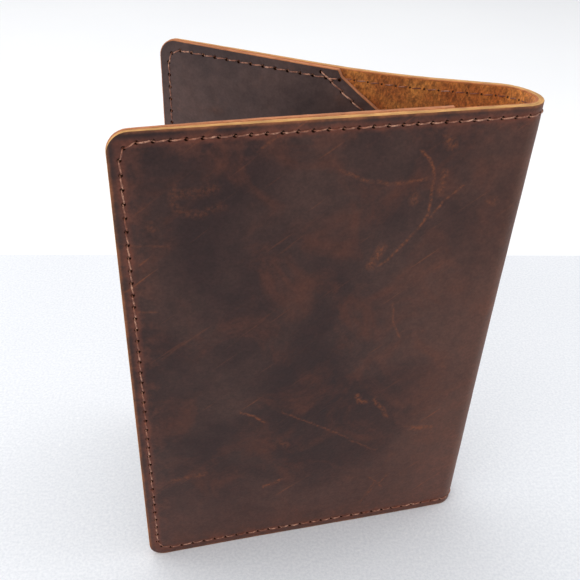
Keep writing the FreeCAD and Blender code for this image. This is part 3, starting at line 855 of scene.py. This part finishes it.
def speckled_mat():
    """Pale photographic mat with a fine speckle."""
    f = Finish("speckled_mat", attribute=None)
    speckle = f.noise(0.9, 3, 0.65, seed=51.0)
    colour = f.mix(f.ramp(speckle, 0.25, 0.75), srgb(228, 230, 234), srgb(244, 245, 247))
    dots = f.ramp(f.noise(1.5, 2, 0.5, seed=52.0), 0.66, 0.74, 0.0, 0.5)
    colour = f.mix(dots, colour, srgb(252, 252, 252))
    colour = f.shade(colour, f.ramp(f.noise(120, 2, 0.5, seed=53.0), 0.3, 0.7, 0.98, 1.02))
    return f.done(colour, 0.7, f.bump(speckle, 0.15, 0.5), Specular_IOR_Level=0.2)


def white_table():
    f = Finish("white_table", attribute=None)
    colour = f.mix(f.noise(90, 3, 0.5, seed=61.0), srgb(250, 250, 251), srgb(254, 254, 254))
    return f.done(colour, 0.6, f.bump(f.noise(3, 3, 0.5, seed=62.0), 0.05, 0.3), Specular_IOR_Level=0.2)


# ---------------------------------------------------------------------------------------------------------
# The holder.

def no_lift(distance, height):
    """The lift of a leather that lies flat on its cover."""
    return np.zeros_like(distance)


def upright_corners(width):
    """Outline of a leather with two rounded corners, counter-clockwise, as (distance, height, radius)."""
    return [(0, 0, CORNER_RADIUS), (width, 0, 0), (width, HEIGHT, 0), (0, HEIGHT, CORNER_RADIUS)]


def pocket_corners(cover):
    """Outline of a pocket; the front one has a small step above its diagonal mouth."""
    if not cover.flip:
        return upright_corners(POCKET_DEPTH)
    return [(0, 0, CORNER_RADIUS), (POCKET_DEPTH, 0, 0), (POCKET_DEPTH, mouth_height(POCKET_DEPTH), 1.5),
            (TAB_FOOT, mouth_height(TAB_FOOT), 0), (TAB_TOP, HEIGHT, 0.5), (0, HEIGHT, CORNER_RADIUS)]


POCKET_FACE = SHELL + 0.03
POCKET_INSIDE = SHELL + POCKET - 0.05
wax, inside, flesh = waxed_leather(), pocket_leather(), suede()
shell_edge = cut_edge("outer_leather_edge", srgb(216, 166, 100), srgb(176, 122, 66), 71.0,
                      srgb(196, 118, 66), srgb(150, 84, 44))
pocket_edge = cut_edge("pocket_leather_edge", srgb(200, 132, 88), srgb(160, 94, 58), 75.0)
hole_shade, stitching = shaded_hole_walls(), sewing_thread()


def make_cover(cover, shell_nodes):
    """The outer leather, pocket and threads of one cover."""
    name = cover.name
    holes = seam_holes(cover)
    mouth = mouth_holes(cover)
    seed = 40.0 if cover.flip else 20.0
    shell = leather(f"outer_leather_{name}", cover, upright_corners(cover.width), holes, (0.0, SHELL),
                    no_lift, [wax, flesh, shell_edge, hole_shade], seed, worn=not cover.flip, worn_shut=0.5)
    cover.ride(shell, crosses_fold=True)
    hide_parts(*shell_nodes)

    in_pocket = [hole for hole in holes if pocket_holds(cover, *hole) and hole[0] < POCKET_DEPTH - 1.2]
    pocket = leather(f"{name}_pocket_leather", cover, pocket_corners(cover), in_pocket + mouth,
                     (POCKET_FACE, POCKET_INSIDE), pocket_lift,
                     [flesh, inside, pocket_edge, hole_shade], seed + 5)
    cover.ride(pocket, crosses_fold=False)
    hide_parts(f"{name}_pocket")

    def seam_faces(distance, height):
        return 0.0, POCKET_INSIDE if pocket_holds(cover, distance, height) else SHELL

    def mouth_faces(distance, height):
        return POCKET_FACE, POCKET_INSIDE

    for letter, odd in (("a", 0), ("b", 1)):
        seam = thread(f"{name}_seam_thread_{letter}_sewn", cover, holes, odd, seam_faces, no_lift,
                      stitching, True)
        cover.ride(seam, crosses_fold=True)
        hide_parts(f"{name}_seam_thread_{letter}", f"spine_seam_thread_{letter}")
        row = thread(f"{name}_mouth_thread_{letter}_sewn", cover, mouth, odd, mouth_faces, pocket_lift,
                     stitching, False)
        cover.ride(row, crosses_fold=False)
        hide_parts(f"{name}_mouth_thread_{letter}")


make_cover(BACK, ["back_leather"])
make_cover(FRONT, ["front_leather", "spine_leather"])

# ---------------------------------------------------------------------------------------------------------
# The set: a speckled mat on a white table, soft light from above, and the camera.

CAMERA_SPOT = Vector((-51.42, -179.23, 208.8)) * MM
CAMERA_HEADING = math.radians(15.38)
CAMERA_PITCH = math.radians(35.84)
CAMERA_ROLL = math.radians(2.71)
LENS = 47.5
MAT_BACK = 319.0
MAT_THICKNESS = 1.2
MAT_SIDE = 900.0
MAT_TURN = math.radians(4.8)


def slab(name, size, top, turn, centre, material, bevel):
    """Flat slab with rounded edges, given in millimetres."""
    shape = bmesh.new()
    bmesh.ops.create_cube(shape, size=1.0)
    bmesh.ops.scale(shape, vec=Vector(size) * MM, verts=shape.verts)
    bmesh.ops.bevel(shape, geom=shape.edges[:], offset=bevel * MM, segments=3, profile=0.5, affect="EDGES")
    mesh = bpy.data.meshes.new(name)
    shape.to_mesh(mesh)
    shape.free()
    mesh.shade_smooth()
    mesh.set_sharp_from_angle(angle=math.radians(40))
    mesh.materials.append(material)
    made = bpy.data.objects.new(name, mesh)
    made.location = (*(Vector(centre) * MM), (top - size[2] / 2) * MM)
    made.rotation_euler = (0, 0, turn)
    bpy.context.scene.collection.objects.link(made)
    return made


ahead = Vector((math.sin(CAMERA_HEADING), math.cos(CAMERA_HEADING)))
back_line = Vector(CAMERA_SPOT[:2]) / MM + ahead * MAT_BACK
mat_turn = -CAMERA_HEADING + MAT_TURN
mat_ahead = Vector((-math.sin(mat_turn), math.cos(mat_turn)))
slab("mat", (MAT_SIDE, MAT_SIDE, MAT_THICKNESS), 0.0, mat_turn, back_line - mat_ahead * MAT_SIDE / 2,
     speckled_mat(), 0.5)
slab("table", (6000.0, 6000.0, 20.0), -MAT_THICKNESS, mat_turn, (0, 0), white_table(), 2.0)


def soft_light(name, power, size, spot, target):
    """Round area light at a spot in metres, turned to its target."""
    light = bpy.data.lights.new(name, "AREA")
    light.shape = "DISK"
    light.size = size
    light.energy = power
    made = bpy.data.objects.new(name, light)
    made.location = spot
    made.rotation_euler = (Vector(spot) - Vector(target)).to_track_quat("Z", "Y").to_euler()
    bpy.context.scene.collection.objects.link(made)


soft_light("overhead", 7.6, 1.3, (-0.25, 0.15, 1.1), (0, 0, 0))
soft_light("front_left", 2.0, 0.9, (-0.7, -0.6, 0.5), (0, 0, 0.07))
soft_light("back_left", 1.5, 0.5, (-0.9, 0.3, 0.4), (0, 0, 0.1))
soft_light("right", 1.5, 0.6, (0.6, 0.0, 0.7), (0.15, -0.05, 0))

world = bpy.data.worlds.new("studio")
world.use_nodes = True
world.node_tree.nodes["Background"].inputs["Color"].default_value = srgb(244, 246, 250)
world.node_tree.nodes["Background"].inputs["Strength"].default_value = 0.52
bpy.context.scene.world = world
bpy.context.scene.view_settings.view_transform = "Standard"

camera = bpy.data.objects.new("camera", bpy.data.cameras.new("camera"))
camera.data.lens = LENS
camera.data.sensor_width = 36.0
camera.data.clip_start = 0.01
camera.matrix_world = (Matrix.Translation(CAMERA_SPOT)
                       @ Matrix.Rotation(-CAMERA_HEADING, 4, "Z")
                       @ Matrix.Rotation(math.pi / 2 - CAMERA_PITCH, 4, "X")
                       @ Matrix.Rotation(CAMERA_ROLL, 4, "Z"))
bpy.context.scene.collection.objects.link(camera)
bpy.context.scene.camera = camera
